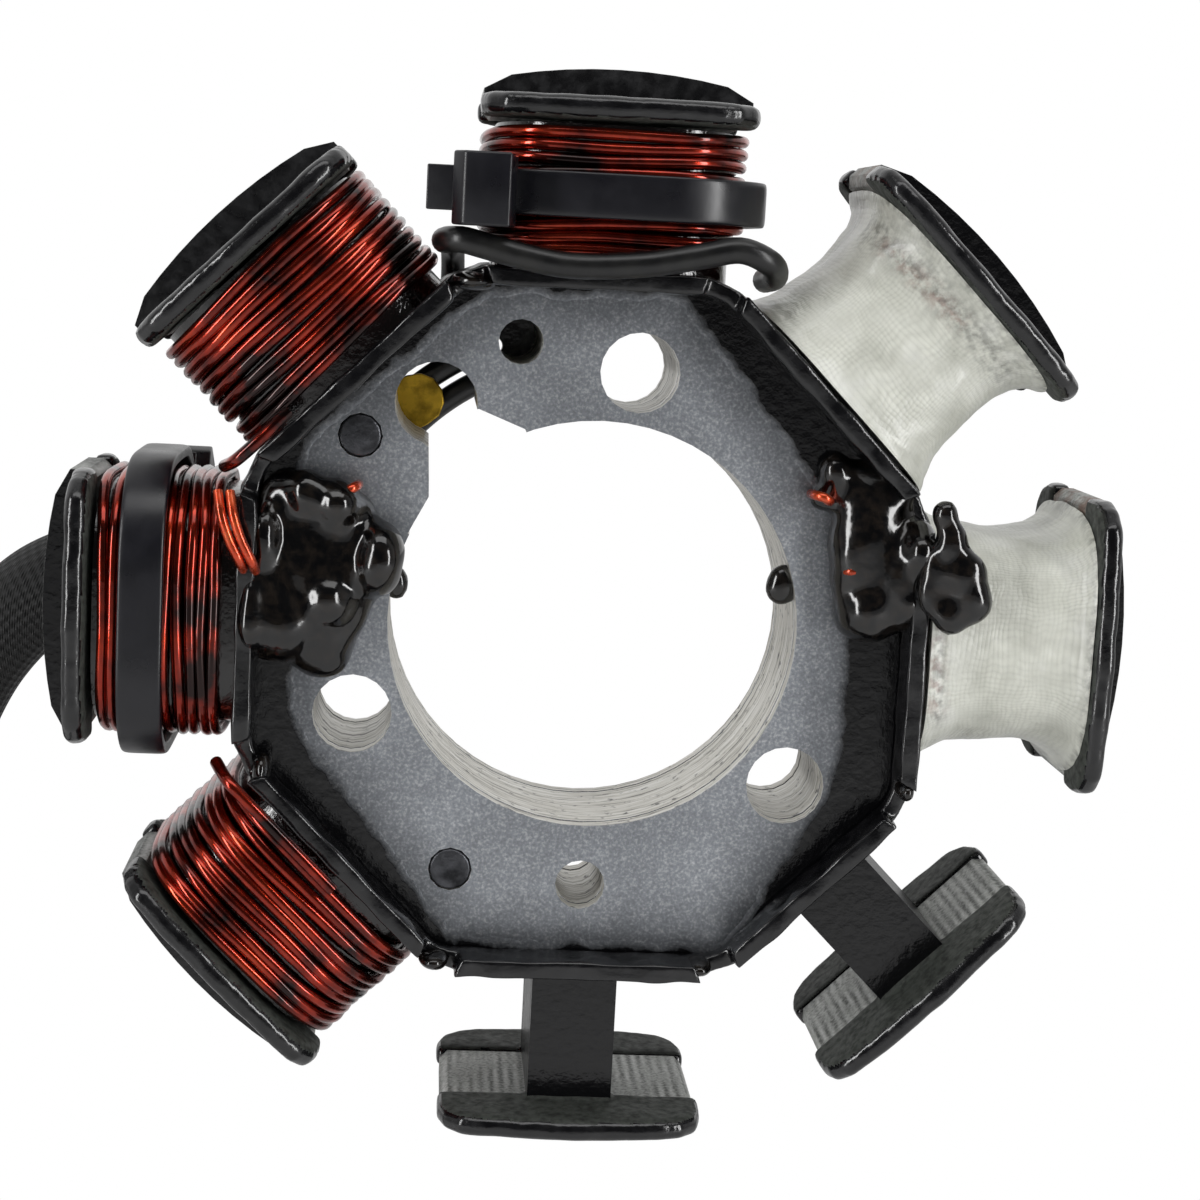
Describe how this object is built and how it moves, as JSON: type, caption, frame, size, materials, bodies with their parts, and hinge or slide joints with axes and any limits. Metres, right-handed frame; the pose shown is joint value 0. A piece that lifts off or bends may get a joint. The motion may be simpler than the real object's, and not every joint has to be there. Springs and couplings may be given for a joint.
{
  "type": "wound stator",
  "caption": "Flywheel generator stator of a small engine: riveted star core with wide shoes, open copper coils, glass-taped exciter coils and a braided harness",
  "frame": {"origin": "centre of the bore on the rear seating face, which rests against the crankcase", "axes": "+Y along the bore from front to rear, into the crankcase; +Z to the pole with the front cable tie; +X to the pole with the taped coil at the side"},
  "size_m": [0.113, 0.0389, 0.1685],
  "materials": {
    "bare_steel": "satin, bare and oiled, with fine grind marks",
    "black_epoxy": "gloss black powder epoxy",
    "rivet_steel": "dark satin",
    "enamelled_wire": "varnished copper",
    "glass_tape": "varnished glass cloth",
    "lead_insulation": "satin",
    "black_nylon": "satin",
    "black_resin": "high gloss",
    "black_braid": "coarse braid",
    "brass": "dull, stained",
    "connector_nylon": "satin"
  },
  "bodies": {
    "root": {"lamination_stack": "bare_steel", "front_pole_plate": "black_epoxy", "rear_pole_plate": "black_epoxy", "front_coil_guard": "black_epoxy", "rear_coil_guard": "black_epoxy", "core_rivet_1": "rivet_steel", "core_rivet_2": "rivet_steel", "core_rivet_3": "rivet_steel", "coil_top": "enamelled_wire", "coil_upper_left": "enamelled_wire", "coil_left": "enamelled_wire", "coil_lower_left": "enamelled_wire", "exciter_coil_upper_right": "enamelled_wire", "exciter_coil_right": "enamelled_wire", "glass_tape_upper_right": "glass_tape", "glass_tape_right": "glass_tape", "crossover_wire_upper": "enamelled_wire", "crossover_wire_lower": "enamelled_wire", "cable_tie_top": "black_nylon", "cable_tie_left": "black_nylon", "resin_bead_left": "black_resin", "resin_bead_right": "black_resin", "resin_lobe_right": "black_resin", "resin_bead_rear": "black_resin", "earth_tag": "brass", "exciter_lead": "lead_insulation", "rear_lead_inner": "lead_insulation", "rear_lead_middle": "lead_insulation", "harness_sleeve": "black_braid", "tail_lead_1": "lead_insulation", "tail_lead_2": "lead_insulation", "tail_lead_3": "lead_insulation", "tail_lead_4": "lead_insulation", "connector_housing": "connector_nylon"}
  },
  "joints": []
}
